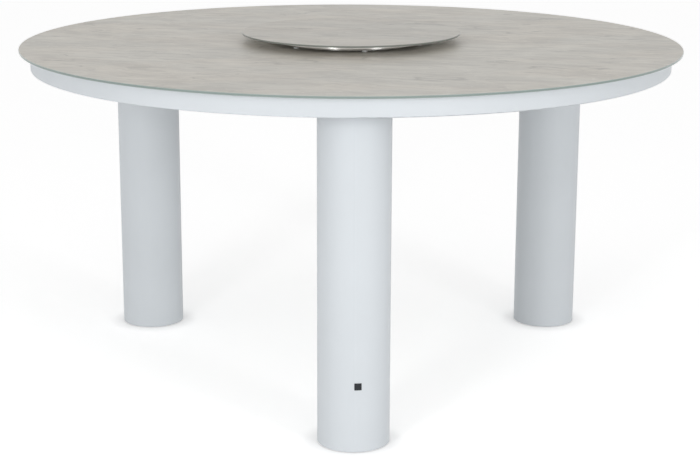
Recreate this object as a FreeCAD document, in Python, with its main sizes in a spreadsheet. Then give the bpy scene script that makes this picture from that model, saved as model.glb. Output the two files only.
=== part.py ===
import FreeCAD, Part
import math
import os
import types

import Sketcher

# Round dining table on three tubular legs, with a lazy susan that turns on a ball race.
# Millimetres and degrees. +Z is up, and the origin is on the floor under the middle of the table.
# One leg stands to the front (-Y), and the other two a third of a turn to each side of it.

SIZES = [
    # the whole table
    ("table_height", 750, "floor to the top face of the table top"),
    ("top_diameter", 1500, "table top across"),
    ("glass_thickness", 5, "printed tempered glass of the table top"),
    ("glass_arris", 0.8, "ground bevel along both edges of each glass plate"),
    ("top_pad_thickness", 1, "clear silicone pads between frame and glass"),
    ("top_pad_diameter", 14, "those pads across"),
    ("ring_pad_count", 12, "pads round the frame ring"),
    ("beam_pad_inset", 100, "outermost pad on a beam, from the frame ring"),
    ("beam_pad_spacing", 200, "pads on a beam, from one to the next"),
    # welded aluminium frame
    ("ring_setback", 25, "frame ring inside the rim of the table top"),
    ("ring_width", 25, "tube of the frame ring, across"),
    ("ring_depth", 40, "tube of the frame ring, upright"),
    ("tube_wall", 2, "wall of the ring and beam tubes"),
    ("tube_corner", 2, "outside corner radius of those tubes"),
    ("beam_width", 40, "tube of a beam, across"),
    ("beam_depth", 30, "tube of a beam, upright"),
    ("hub_diameter", 140, "hub tube that joins the beams"),
    ("hub_wall", 4, "wall of the hub tube"),
    ("hub_cap_thickness", 4, "disc that closes the top of the hub"),
    ("weld_fit", 0.1, "gap round a plate that is welded into a tube"),
    ("drain_diameter", 6, "drain hole in the underside of a closed tube"),
    ("ring_drain_count", 6, "drain holes round the frame ring"),
    ("beam_drain_inset", 20, "outside of the hub to the drain hole of a beam"),
    # legs
    ("leg_inset", 125, "inside of the frame ring to the axis of a leg"),
    ("leg_diameter", 150, "leg tube across, outside"),
    ("leg_wall", 2.5, "wall of the leg tube"),
    ("leg_bevel", 0.5, "bevel at the ends of a leg and the rims of its plates"),
    ("mount_plate_thickness", 6, "plate welded under a beam to take the leg"),
    ("leg_top_plate_thickness", 10, "tapped plate in the top end of a leg"),
    ("leg_bottom_plate_thickness", 5, "plate in the bottom end of a leg"),
    ("plate_eye_diameter", 40, "hole in the middle of the plates at the top of a leg"),
    ("plate_drain_diameter", 12, "hole in the middle of the bottom plate"),
    # bolts that hold the legs
    ("bolt_inset", 16, "rim of a mount plate to the axis of a bolt"),
    ("bolt_diameter", 8, "M8 socket head bolt"),
    ("bolt_length", 20, "bolt under its head"),
    ("bolt_head_diameter", 13, "bolt head across"),
    ("bolt_head_height", 8, "bolt head upright"),
    ("bolt_bevel", 0.8, "bevel at the head and the tip of a bolt"),
    ("bolt_socket_width", 6, "hexagon socket across flats"),
    ("bolt_socket_depth", 4, "hexagon socket depth"),
    ("bolt_hole_clearance", 1, "added to the bolt for the holes it passes through"),
    ("bolt_thread_clearance", 0.2, "added to the bolt for the tapped holes"),
    ("washer_diameter", 16, "washer across"),
    ("washer_thickness", 1.6, "washer thickness"),
    ("washer_clearance", 0.4, "added to the bolt for the hole in the washer"),
    # plastic glides under the legs
    ("glide_thickness", 2, "glide under a leg, which lifts the leg off the floor"),
    ("glide_setback", 7, "rim of a glide inside that of its leg"),
    ("glide_bevel", 0.6, "bevel along both rims of a glide"),
    ("plug_inset", 18, "rim of a glide to the axis of a push-in plug"),
    ("plug_diameter", 6, "push-in plug across"),
    ("plug_clearance", 0.4, "added to the plug for the hole it passes through"),
    ("plug_head_diameter", 7.4, "snap head of a plug across"),
    ("plug_head_height", 2, "snap head of a plug upright"),
    ("plug_head_gap", 0.3, "play between the snap head and the plate"),
    # lazy susan
    ("susan_diameter", 500, "turning glass plate across"),
    ("susan_glass_thickness", 4, "turning glass plate thickness"),
    ("susan_pad_thickness", 1, "silicone pads that carry the turning plate"),
    ("susan_pad_diameter", 12, "those pads across"),
    ("susan_foot_height", 4, "silicone feet under the fixed ring"),
    ("susan_foot_diameter", 12, "those feet across"),
    ("foot_stem_diameter", 5, "stem of a foot, pushed into the fixed ring"),
    ("foot_stem_length", 4, "stem of a foot above the foot"),
    ("foot_stem_clearance", 0.2, "added to the stem for its hole, across and deep"),
    ("susan_foot_count", 6, "feet, and as many pads, round the rings"),
    ("fixed_ring_bore", 304, "fixed ring of the bearing, inside"),
    ("fixed_ring_width", 18, "fixed ring of the bearing, from its inside to its outside"),
    ("fixed_ring_rise", 4, "top of the fixed ring above the middle of the balls"),
    ("ring_gap", 2, "between the fixed ring and the turning ring"),
    ("turning_ring_width", 18, "turning ring of the bearing, from its inside to its outside"),
    ("turning_ring_height", 12, "turning ring of the bearing, upright"),
    ("turning_ring_lift", 4, "underside of the turning ring above that of the fixed ring"),
    ("turning_ring_rounding", 2, "rounded outer edges of the turning ring"),
    ("race_bevel", 0.5, "bevel at the other rims of both rings"),
    ("ball_diameter", 5, "steel balls of the bearing"),
    ("ball_count", 16, "how many balls there are"),
    ("race_clearance", 0.05, "play between a ball and the flanks of its races"),
    ("race_relief", 0.6, "flat cut off the point of each V race"),
    ("cage_play", 0.35, "between the ball cage and either ring"),
    ("cage_edge", 0.9, "ball cage above and below a pocket"),
    ("pocket_clearance", 0.2, "added to the ball for its pocket in the cage"),
    ("filler_diameter", 5.4, "hole through which the balls are loaded"),
    ("filler_plug_clearance", 0.1, "taken off that hole for the plug"),
    ("filler_plug_setback", 0.5, "the plug stays this far inside both ends of its hole"),
    ("filler_socket_width", 2.5, "hexagon socket of the plug across flats"),
    ("filler_socket_depth", 3, "hexagon socket of the plug, depth"),
]

FRONT = -90  # azimuth of the front leg
LEGS = {side: FRONT + 120 * number for number, side in enumerate(("front", "right", "left"))}
FIRST_FOOT = -80  # azimuth of the first foot under the lazy susan
SMALL = 1e-4

# How the sketcher numbers the ends and the centre of an edge, and its own two axes
START, END, CENTRE = range(1, 4)
LEVEL_AXIS, UPRIGHT_AXIS = range(-1, -3, -1)


class Size:
    """A size as a number and as the expression that gives it. The number draws, and the expression
    binds what is drawn to the sheet."""

    def __init__(self, value, text):
        self.value = value
        self.text = text

    def __add__(self, other):
        return Size(self.value + as_size(other).value, f"({self.text} + {as_size(other).text})")

    def __sub__(self, other):
        return Size(self.value - as_size(other).value, f"({self.text} - {as_size(other).text})")

    def __mul__(self, other):
        return Size(self.value * as_size(other).value, f"({self.text} * {as_size(other).text})")

    def __truediv__(self, other):
        return Size(self.value / as_size(other).value, f"({self.text} / {as_size(other).text})")

    def __neg__(self):
        return Size(-self.value, f"(-1 * {self.text})")

    def turned(self, angle):
        """The x and y of a point this far from the origin at that azimuth."""
        across = Size(math.cos(math.radians(angle)), f"cos({angle} deg)")
        along = Size(math.sin(math.radians(angle)), f"sin({angle} deg)")
        return self * across, self * along


def as_size(number):
    return number if isinstance(number, Size) else Size(number, str(number))


ZERO = Size(0, "0")
ROOT_2 = Size(math.sqrt(2), "sqrt(2)")
ROOT_3 = Size(math.sqrt(3), "sqrt(3)")

os.makedirs("parts", exist_ok=True)
doc = FreeCAD.newDocument("DiningTable")
sheet = doc.addObject("Spreadsheet::Sheet", "Sizes")
size = types.SimpleNamespace()
for row, (alias, number, meaning) in enumerate(SIZES, start=1):
    sheet.set(f"A{row}", meaning)
    sheet.set(f"B{row}", str(number))
    sheet.setAlias(f"B{row}", alias)
    setattr(size, alias, Size(number, f"Sizes.{alias}"))
doc.recompute()

# Heights, from the table top down to the floor
glass_bottom = size.table_height - size.glass_thickness
frame_top = glass_bottom - size.top_pad_thickness
ring_bottom = frame_top - size.ring_depth
beam_bottom = frame_top - size.beam_depth
leg_top = beam_bottom - size.mount_plate_thickness
bolt_seat = beam_bottom + size.washer_thickness
leg_bottom = size.glide_thickness
bottom_plate_top = leg_bottom + size.leg_bottom_plate_thickness

# Radii and places of the frame and the legs
ring_outer = size.top_diameter / 2 - size.ring_setback
ring_inner = ring_outer - size.ring_width
ring_middle = ring_outer - size.ring_width / 2
hub_bore = size.hub_diameter - size.hub_wall * 2
leg_axis = ring_inner - size.leg_inset
leg_radius = size.leg_diameter / 2
leg_bore = size.leg_diameter - size.leg_wall * 2
bolt_offset = (leg_radius - size.bolt_inset) / ROOT_2
glide_radius = leg_radius - size.glide_setback
plug_circle = glide_radius - size.plug_inset

# Heights of the lazy susan
fixed_ring_bottom = size.table_height + size.susan_foot_height
turning_ring_bottom = fixed_ring_bottom + size.turning_ring_lift
turning_ring_top = turning_ring_bottom + size.turning_ring_height
ball_height = turning_ring_bottom + size.turning_ring_height / 2
fixed_ring_top = ball_height + size.fixed_ring_rise
susan_glass_bottom = turning_ring_top + size.susan_pad_thickness

# Radii of the lazy susan. Its balls run between two V grooves with flanks at 45 degrees.
fixed_ring_inner = size.fixed_ring_bore / 2
fixed_ring_outer = fixed_ring_inner + size.fixed_ring_width
turning_ring_inner = fixed_ring_outer + size.ring_gap
turning_ring_outer = turning_ring_inner + size.turning_ring_width
ball_circle = (fixed_ring_outer + turning_ring_inner) / 2
flank_reach = (size.ball_diameter / 2 + size.race_clearance) * ROOT_2
fixed_race_floor = ball_circle - flank_reach + size.race_relief
turning_race_floor = ball_circle + flank_reach - size.race_relief
fixed_race_mouth = flank_reach - (ball_circle - fixed_ring_outer)
turning_race_mouth = flank_reach - (turning_ring_inner - ball_circle)
foot_circle = (fixed_ring_inner + fixed_ring_outer) / 2
susan_pad_circle = (turning_ring_inner + turning_ring_outer) / 2

subparts = []


def new_body(label, azimuth=0):
    """A sub-part, drawn towards +X and then turned about Z to its azimuth."""
    body = doc.addObject("PartDesign::Body", label)
    body.Label = label
    body.AllowCompound = True
    upright = FreeCAD.Vector(0, 0, 1)
    body.Placement = FreeCAD.Placement(FreeCAD.Vector(), FreeCAD.Rotation(upright, azimuth))
    subparts.append(body)
    return body


def origin_item(body, role):
    return next(item for item in body.Origin.OriginFeatures if item.Role == role)


# Sketches


def new_sketch(body, name, plane="XY_Plane", offset=ZERO):
    """A sketch on one of the body's own planes, moved along that plane's normal."""
    sketch = body.newObject("Sketcher::SketchObject", f"{body.Name}_{name}")
    sketch.AttachmentSupport = [(origin_item(body, plane), "")]
    sketch.MapMode = "FlatFace"
    sketch.setExpression("AttachmentOffset.Base.z", offset.text)
    return sketch


def same(one, other):
    return one.text == other.text


def dimension(sketch, name, amount, kind, *places):
    """A dimension with a name, bound to the sizes that give it."""
    index = sketch.addConstraint(Sketcher.Constraint(kind, *places, amount.value))
    sketch.renameConstraint(index, name)
    sketch.setExpression(f"Constraints.{name}", amount.text)


def place_x(sketch, name, edge, end, x):
    if same(x, ZERO):
        sketch.addConstraint(Sketcher.Constraint("PointOnObject", edge, end, UPRIGHT_AXIS))
    else:
        dimension(sketch, f"{name}_x", x, "DistanceX", LEVEL_AXIS, START, edge, end)


def place_y(sketch, name, edge, end, y):
    if same(y, ZERO):
        sketch.addConstraint(Sketcher.Constraint("PointOnObject", edge, end, LEVEL_AXIS))
    else:
        dimension(sketch, f"{name}_y", y, "DistanceY", LEVEL_AXIS, START, edge, end)


def circle_about(x, y, radius):
    return Part.Circle(FreeCAD.Vector(x, y, 0), FreeCAD.Vector(0, 0, 1), radius)


def straight(start, end):
    return Part.LineSegment(FreeCAD.Vector(*start, 0), FreeCAD.Vector(*end, 0))


def draw_circle(sketch, name, diameter, x=ZERO, y=ZERO, guide=False):
    edge = sketch.addGeometry(circle_about(x.value, y.value, diameter.value / 2), guide)
    place_x(sketch, name, edge, CENTRE, x)
    place_y(sketch, name, edge, CENTRE, y)
    dimension(sketch, f"{name}_diameter", diameter, "Diameter", edge)
    return edge


def draw_closed(sketch, points):
    """Straight edges from each point to the next, joined at their ends."""
    edges = []
    for start, end in zip(points, points[1:] + points[:1]):
        edges.append(sketch.addGeometry(straight(start, end), False))
    for before, edge in zip(edges[-1:] + edges[:-1], edges):
        sketch.addConstraint(Sketcher.Constraint("Coincident", before, END, edge, START))
    return edges


def draw_outline(sketch, corners):
    """Straight edges through the corners, each an x and a y. An x that stays from one corner to the
    next makes an upright edge and a y that stays a level one, and every other gets a dimension."""
    edges = draw_closed(sketch, [(x.value, y.value) for x, y in corners])
    for index, (x, y) in enumerate(corners):
        x_before, y_before = corners[index - 1]
        if same(x, x_before):
            sketch.addConstraint(Sketcher.Constraint("Vertical", edges[index - 1]))
        else:
            place_x(sketch, f"corner_{index}", edges[index], START, x)
        if same(y, y_before):
            sketch.addConstraint(Sketcher.Constraint("Horizontal", edges[index - 1]))
        else:
            place_y(sketch, f"corner_{index}", edges[index], START, y)


def draw_rounded_rectangle(sketch, left, right, bottom, top, corner):
    """Four straight edges joined by four equal arcs."""
    reach = corner.value
    inner_x = (left.value + reach, right.value - reach)
    inner_y = (bottom.value + reach, top.value - reach)
    sides = [
        ((inner_x[0], bottom.value), (inner_x[1], bottom.value)),
        ((right.value, inner_y[0]), (right.value, inner_y[1])),
        ((inner_x[1], top.value), (inner_x[0], top.value)),
        ((left.value, inner_y[1]), (left.value, inner_y[0])),
    ]
    middles = [
        (inner_x[1], inner_y[0]),
        (inner_x[1], inner_y[1]),
        (inner_x[0], inner_y[1]),
        (inner_x[0], inner_y[0]),
    ]
    lines = [sketch.addGeometry(straight(*side), False) for side in sides]
    arcs = []
    for quarter, middle in enumerate(middles):
        begin = (quarter - 1) * math.pi / 2
        arc = Part.ArcOfCircle(circle_about(*middle, reach), begin, begin + math.pi / 2)
        arcs.append(sketch.addGeometry(arc, False))
    for index, (line, arc) in enumerate(zip(lines, arcs)):
        following = lines[(index + 1) % len(lines)]
        direction = "Vertical" if index % 2 else "Horizontal"
        sketch.addConstraint(Sketcher.Constraint(direction, line))
        sketch.addConstraint(Sketcher.Constraint("Tangent", line, END, arc, START))
        sketch.addConstraint(Sketcher.Constraint("Tangent", arc, END, following, START))
        if index:
            sketch.addConstraint(Sketcher.Constraint("Equal", arcs[0], arc))
    dimension(sketch, "corner", corner, "Radius", arcs[0])
    place_y(sketch, "bottom", lines[0], START, bottom)
    place_x(sketch, "right", lines[1], START, right)
    place_y(sketch, "top", lines[2], START, top)
    place_x(sketch, "left", lines[3], START, left)


def draw_hexagon(sketch, across_flats, x=ZERO, y=ZERO):
    """Six equal edges with their corners on a guide circle, two of them level."""
    across_corners = across_flats * 2 / ROOT_3
    guide = draw_circle(sketch, "across_corners", across_corners, x, y, guide=True)
    points = []
    for corner in range(6):
        angle = corner * math.pi / 3
        reach = across_corners.value / 2
        points.append((x.value + reach * math.cos(angle), y.value + reach * math.sin(angle)))
    edges = draw_closed(sketch, points)
    for edge in edges:
        sketch.addConstraint(Sketcher.Constraint("PointOnObject", edge, START, guide))
    for edge in edges[1:]:
        sketch.addConstraint(Sketcher.Constraint("Equal", edges[0], edge))
    sketch.addConstraint(Sketcher.Constraint("Horizontal", edges[1]))


# Features


def pad(body, name, sketch, length, reverse=False):
    """Material from the sketch along its plane's normal, or against it when reversed."""
    feature = body.newObject("PartDesign::Pad", f"{body.Name}_{name}")
    feature.Profile = sketch
    feature.Reversed = reverse
    feature.setExpression("Length", length.text)
    return feature


def revolve(body, name, sketch, axis="V_Axis"):
    feature = body.newObject("PartDesign::Revolution", f"{body.Name}_{name}")
    feature.Profile = sketch
    feature.ReferenceAxis = (sketch, [axis])
    feature.Angle = 360
    return feature


def pocket(body, name, sketch, depth=None, reverse=False):
    """A cut against the plane's normal, or along it when reversed. With no depth it goes through."""
    doc.recompute()
    before = body.Shape.Volume
    feature = body.newObject("PartDesign::Pocket", f"{body.Name}_{name}")
    feature.Profile = sketch
    feature.Reversed = reverse
    if depth is None:
        feature.Type = "ThroughAll"
    else:
        feature.setExpression("Length", depth.text)
    doc.recompute()
    if body.Shape.Volume > before - SMALL:
        raise RuntimeError(f"{feature.Name} cuts nothing")
    return feature


def rims(body, radius, x=ZERO):
    """The body's edges that run round an upright axis, x from its own Z axis, at that radius."""
    doc.recompute()
    names = []
    for number, edge in enumerate(body.Tip.Shape.Edges, start=1):
        curve = edge.Curve
        if isinstance(curve, Part.Circle) and abs(curve.Radius - radius.value) < SMALL:
            away = math.hypot(curve.Center.x - x.value, curve.Center.y)
            if away < SMALL and abs(curve.Axis.z) > 1 - SMALL:
                names.append(f"Edge{number}")
    return names


def trim_edges(body, kind, edges, width):
    """A bevel (Chamfer) or a rounding (Fillet) along the edges."""
    base = body.Tip
    feature = body.newObject(f"PartDesign::{kind}", f"{body.Name}_{kind.lower()}")
    feature.Base = (base, edges)
    feature.setExpression("Size" if kind == "Chamfer" else "Radius", width.text)
    return feature


def repeat_round(body, originals, count):
    """Copies of the originals, evenly spaced round Z."""
    feature = body.newObject("PartDesign::PolarPattern", f"{body.Name}_round")
    feature.Originals = originals
    feature.Axis = (origin_item(body, "Z_Axis"), [""])
    feature.Angle = 360
    feature.setExpression("Occurrences", count.text)
    body.Tip = feature
    return feature


def repeat_at_bolts(body, originals):
    """Copies of the originals in a square on each leg. They are drawn at the corner with the larger
    x and y on the leg towards +X."""
    steps = body.newObject("PartDesign::MultiTransform", f"{body.Name}_bolts")
    square = doc.addObject("PartDesign::LinearPattern", f"{body.Name}_square")
    square.Direction = (origin_item(body, "X_Axis"), [""])
    square.Direction2 = (origin_item(body, "Y_Axis"), [""])
    square.Reversed = True
    square.Reversed2 = True
    square.Occurrences = 2
    square.Occurrences2 = 2
    side = bolt_offset * 2
    square.setExpression("Length", side.text)
    square.setExpression("Length2", side.text)
    legs = doc.addObject("PartDesign::PolarPattern", f"{body.Name}_legs")
    legs.Axis = (origin_item(body, "Z_Axis"), [""])
    legs.Angle = 360
    legs.Occurrences = len(LEGS)
    body.addObject(square)
    body.addObject(legs)
    steps.Originals = originals
    steps.Transformations = [square, legs]
    body.Tip = steps


# The frame and its table top


def glass_plate(label, diameter, thickness, underside):
    body = new_body(label)
    outline = new_sketch(body, "outline", offset=underside)
    draw_circle(outline, "plate", diameter)
    pad(body, "plate", outline, thickness)
    trim_edges(body, "Chamfer", rims(body, diameter / 2), size.glass_arris)


def tube_section(sketch, left, right, bottom, top):
    """An extruded rectangular tube, rounded outside and sharp inside, cut across."""
    draw_rounded_rectangle(sketch, left, right, bottom, top, size.tube_corner)
    bore_left = left + size.tube_wall
    bore_right = right - size.tube_wall
    bore_bottom = bottom + size.tube_wall
    bore_top = top - size.tube_wall
    corners = [
        (bore_left, bore_bottom),
        (bore_right, bore_bottom),
        (bore_right, bore_top),
        (bore_left, bore_top),
    ]
    draw_outline(sketch, corners)


def frame_ring():
    """Rectangular tube rolled into a hoop under the rim of the glass."""
    body = new_body("frame_ring")
    section = new_sketch(body, "section", "XZ_Plane")
    tube_section(section, ring_inner, ring_outer, ring_bottom, frame_top)
    revolve(body, "hoop", section)
    drain = new_sketch(body, "drain", offset=ring_bottom)
    draw_circle(drain, "hole", size.drain_diameter, ring_middle)
    hole = pocket(body, "drain", drain, size.tube_wall, reverse=True)
    repeat_round(body, [hole], size.ring_drain_count)


def frame_beam(side, azimuth):
    """Rectangular tube from the hub to the ring, coped to fit the round of both."""
    body = new_body(f"frame_beam_{side}", azimuth)
    half = size.beam_width / 2
    section = new_sketch(body, "section", "YZ_Plane")
    tube_section(section, -half, half, beam_bottom, frame_top)
    pad(body, "tube", section, ring_inner)
    hub_cope = new_sketch(body, "hub_cope", offset=beam_bottom)
    draw_circle(hub_cope, "hub", size.hub_diameter)
    pocket(body, "hub_cope", hub_cope, size.beam_depth, reverse=True)
    ring_cope = new_sketch(body, "ring_cope", offset=beam_bottom)
    draw_circle(ring_cope, "ring_inside", ring_inner * 2)
    draw_circle(ring_cope, "ring_outside", ring_outer * 2)
    pocket(body, "ring_cope", ring_cope, size.beam_depth, reverse=True)
    drain = new_sketch(body, "drain", offset=beam_bottom)
    draw_circle(drain, "hole", size.drain_diameter, size.hub_diameter / 2 + size.beam_drain_inset)
    pocket(body, "drain", drain, size.tube_wall, reverse=True)


def frame_hub():
    body = new_body("frame_hub")
    section = new_sketch(body, "section", offset=beam_bottom)
    draw_circle(section, "outside", size.hub_diameter)
    draw_circle(section, "bore", hub_bore)
    pad(body, "tube", section, size.beam_depth)


def frame_hub_cap():
    """Disc welded into the top of the hub, which carries the middle of the glass."""
    body = new_body("frame_hub_cap")
    outline = new_sketch(body, "outline", offset=frame_top - size.hub_cap_thickness)
    draw_circle(outline, "disc", hub_bore - size.weld_fit * 2)
    pad(body, "disc", outline, size.hub_cap_thickness)


def ring_pads():
    body = new_body("ring_pads")
    outline = new_sketch(body, "outline", offset=frame_top)
    draw_circle(outline, "pad", size.top_pad_diameter, ring_middle)
    first = pad(body, "pad", outline, size.top_pad_thickness)
    repeat_round(body, [first], size.ring_pad_count)


def beam_pads():
    body = new_body("beam_pads", FRONT)
    outline = new_sketch(body, "outline", offset=frame_top)
    for step, name in enumerate(("outer", "middle", "inner")):
        place = ring_inner - size.beam_pad_inset - size.beam_pad_spacing * step
        draw_circle(outline, name, size.top_pad_diameter, place)
    pads = pad(body, "pads", outline, size.top_pad_thickness)
    repeat_round(body, [pads], as_size(len(LEGS)))


def hub_pad():
    body = new_body("hub_pad")
    outline = new_sketch(body, "outline", offset=frame_top)
    draw_circle(outline, "pad", size.top_pad_diameter)
    pad(body, "pad", outline, size.top_pad_thickness)


# The legs


def draw_bolt_holes(sketch, diameter):
    """Four holes in a square round the leg's axis."""
    for beside, y in (("one", bolt_offset), ("other", -bolt_offset)):
        draw_circle(sketch, f"outer_{beside}", diameter, leg_axis + bolt_offset, y)
        draw_circle(sketch, f"inner_{beside}", diameter, leg_axis - bolt_offset, y)


def leg_mount_plate(side, azimuth):
    """Round plate welded under a beam. The leg is bolted up against it."""
    body = new_body(f"leg_mount_plate_{side}", azimuth)
    outline = new_sketch(body, "outline", offset=leg_top)
    draw_circle(outline, "rim", size.leg_diameter, leg_axis)
    draw_circle(outline, "eye", size.plate_eye_diameter, leg_axis)
    draw_bolt_holes(outline, size.bolt_diameter + size.bolt_hole_clearance)
    pad(body, "plate", outline, size.mount_plate_thickness)
    rim = rims(body, leg_radius, leg_axis)
    trim_edges(body, "Chamfer", rim, size.leg_bevel)


def leg_tube(side, azimuth):
    body = new_body(f"leg_tube_{side}", azimuth)
    section = new_sketch(body, "section", offset=leg_bottom)
    draw_circle(section, "outside", size.leg_diameter, leg_axis)
    draw_circle(section, "bore", leg_bore, leg_axis)
    pad(body, "tube", section, leg_top - leg_bottom)
    rim = rims(body, leg_radius, leg_axis)
    trim_edges(body, "Chamfer", rim, size.leg_bevel)


def leg_top_plate(side, azimuth):
    """Thick plate welded into the top of the leg, with four tapped holes."""
    body = new_body(f"leg_top_plate_{side}", azimuth)
    outline = new_sketch(body, "outline", offset=leg_top - size.leg_top_plate_thickness)
    draw_circle(outline, "rim", leg_bore - size.weld_fit * 2, leg_axis)
    draw_circle(outline, "eye", size.plate_eye_diameter, leg_axis)
    draw_bolt_holes(outline, size.bolt_diameter + size.bolt_thread_clearance)
    pad(body, "plate", outline, size.leg_top_plate_thickness)


def draw_plugs(sketch, diameter):
    """Three circles round the leg's axis, where the plugs of the glide are."""
    for number, angle in enumerate((0, 120, 240)):
        x, y = plug_circle.turned(angle)
        draw_circle(sketch, f"plug_{number}", diameter, leg_axis + x, y)


def leg_bottom_plate(side, azimuth):
    """Plate welded flush into the foot of the leg, with a drain and holes for the glide's plugs."""
    body = new_body(f"leg_bottom_plate_{side}", azimuth)
    outline = new_sketch(body, "outline", offset=leg_bottom)
    draw_circle(outline, "rim", leg_bore - size.weld_fit * 2, leg_axis)
    draw_circle(outline, "drain", size.plate_drain_diameter, leg_axis)
    draw_plugs(outline, size.plug_diameter + size.plug_clearance)
    pad(body, "plate", outline, size.leg_bottom_plate_thickness)


def foot_glide(side, azimuth):
    """Thin plastic disc under the leg, held by three snap-in plugs."""
    body = new_body(f"foot_glide_{side}", azimuth)
    outline = new_sketch(body, "outline")
    draw_circle(outline, "disc", glide_radius * 2, leg_axis)
    pad(body, "disc", outline, size.glide_thickness)
    trim_edges(body, "Chamfer", rims(body, glide_radius, leg_axis), size.glide_bevel)
    plugs = new_sketch(body, "plugs", offset=leg_bottom)
    draw_plugs(plugs, size.plug_diameter)
    pad(body, "plugs", plugs, size.leg_bottom_plate_thickness + size.plug_head_gap)
    heads = new_sketch(body, "heads", offset=bottom_plate_top + size.plug_head_gap)
    draw_plugs(heads, size.plug_head_diameter)
    pad(body, "heads", heads, size.plug_head_height)


def leg_bolts():
    """Socket head bolts, dropped through the mount plates from above."""
    body = new_body("leg_bolts", FRONT)
    axis = leg_axis + bolt_offset
    shank = axis + size.bolt_diameter / 2
    head = axis + size.bolt_head_diameter / 2
    tip = bolt_seat - size.bolt_length
    head_top = bolt_seat + size.bolt_head_height
    section = new_sketch(body, "section", "XZ_Plane", -bolt_offset)
    corners = [
        (axis, tip),
        (shank - size.bolt_bevel, tip),
        (shank, tip + size.bolt_bevel),
        (shank, bolt_seat),
        (head, bolt_seat),
        (head, head_top - size.bolt_bevel),
        (head - size.bolt_bevel, head_top),
        (axis, head_top),
    ]
    draw_outline(section, corners)
    turned = revolve(body, "blank", section, f"Edge{len(corners)}")
    socket = new_sketch(body, "socket", offset=head_top)
    draw_hexagon(socket, size.bolt_socket_width, axis, bolt_offset)
    sunk = pocket(body, "socket", socket, size.bolt_socket_depth)
    repeat_at_bolts(body, [turned, sunk])


def leg_bolt_washers():
    body = new_body("leg_bolt_washers", FRONT)
    axis = leg_axis + bolt_offset
    outline = new_sketch(body, "outline", offset=beam_bottom)
    draw_circle(outline, "rim", size.washer_diameter, axis, bolt_offset)
    draw_circle(outline, "hole", size.bolt_diameter + size.washer_clearance, axis, bolt_offset)
    repeat_at_bolts(body, [pad(body, "washer", outline, size.washer_thickness)])


# The lazy susan


def susan_feet():
    """Silicone feet, each with a stem pushed into the fixed ring."""
    body = new_body("susan_feet", FIRST_FOOT)
    outline = new_sketch(body, "outline", offset=size.table_height)
    draw_circle(outline, "foot", size.susan_foot_diameter, foot_circle)
    foot = pad(body, "foot", outline, size.susan_foot_height)
    stem_outline = new_sketch(body, "stem", offset=fixed_ring_bottom)
    draw_circle(stem_outline, "stem", size.foot_stem_diameter, foot_circle)
    stem = pad(body, "stem", stem_outline, size.foot_stem_length)
    repeat_round(body, [foot, stem], size.susan_foot_count)


def susan_fixed_ring():
    """Inner ring of the bearing, with its V race round the outside."""
    body = new_body("susan_fixed_ring", FIRST_FOOT)
    rim = size.race_bevel
    section = new_sketch(body, "section", "XZ_Plane")
    corners = [
        (fixed_ring_inner + rim, fixed_ring_bottom),
        (fixed_ring_outer - rim, fixed_ring_bottom),
        (fixed_ring_outer, fixed_ring_bottom + rim),
        (fixed_ring_outer, ball_height - fixed_race_mouth),
        (fixed_race_floor, ball_height - size.race_relief),
        (fixed_race_floor, ball_height + size.race_relief),
        (fixed_ring_outer, ball_height + fixed_race_mouth),
        (fixed_ring_outer, fixed_ring_top - rim),
        (fixed_ring_outer - rim, fixed_ring_top),
        (fixed_ring_inner + rim, fixed_ring_top),
        (fixed_ring_inner, fixed_ring_top - rim),
        (fixed_ring_inner, fixed_ring_bottom + rim),
    ]
    draw_outline(section, corners)
    revolve(body, "ring", section)
    filler = new_sketch(body, "filler", "XZ_Plane")
    draw_circle(filler, "hole", size.filler_diameter, ZERO, ball_height)
    pocket(body, "filler", filler)
    stem = new_sketch(body, "stem", offset=fixed_ring_bottom)
    draw_circle(stem, "stem", size.foot_stem_diameter + size.foot_stem_clearance, foot_circle)
    depth = size.foot_stem_length + size.foot_stem_clearance
    hole = pocket(body, "stem", stem, depth, reverse=True)
    repeat_round(body, [hole], size.susan_foot_count)


def susan_filler_plug():
    """Grub screw that closes the hole through which the balls are loaded."""
    body = new_body("susan_filler_plug", FIRST_FOOT)
    start = fixed_ring_inner + size.filler_plug_setback
    end = fixed_race_floor - size.filler_plug_setback
    outline = new_sketch(body, "outline", "XZ_Plane", -start)
    diameter = size.filler_diameter - size.filler_plug_clearance
    draw_circle(outline, "plug", diameter, ZERO, ball_height)
    pad(body, "plug", outline, end - start, reverse=True)
    socket = new_sketch(body, "socket", "XZ_Plane", -start)
    draw_hexagon(socket, size.filler_socket_width, ZERO, ball_height)
    pocket(body, "socket", socket, size.filler_socket_depth)


def susan_ball_cage():
    """Thin ring between the two races, with a pocket for each ball."""
    body = new_body("susan_ball_cage")
    pocket_diameter = size.ball_diameter + size.pocket_clearance
    height = pocket_diameter + size.cage_edge * 2
    outline = new_sketch(body, "outline", offset=ball_height - height / 2)
    draw_circle(outline, "outside", (turning_ring_inner - size.cage_play) * 2)
    draw_circle(outline, "inside", (fixed_ring_outer + size.cage_play) * 2)
    pad(body, "ring", outline, height)
    hole = new_sketch(body, "pocket", "YZ_Plane")
    draw_circle(hole, "pocket", pocket_diameter, ZERO, ball_height)
    cut = pocket(body, "pocket", hole, reverse=True)
    repeat_round(body, [cut], size.ball_count)


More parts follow.
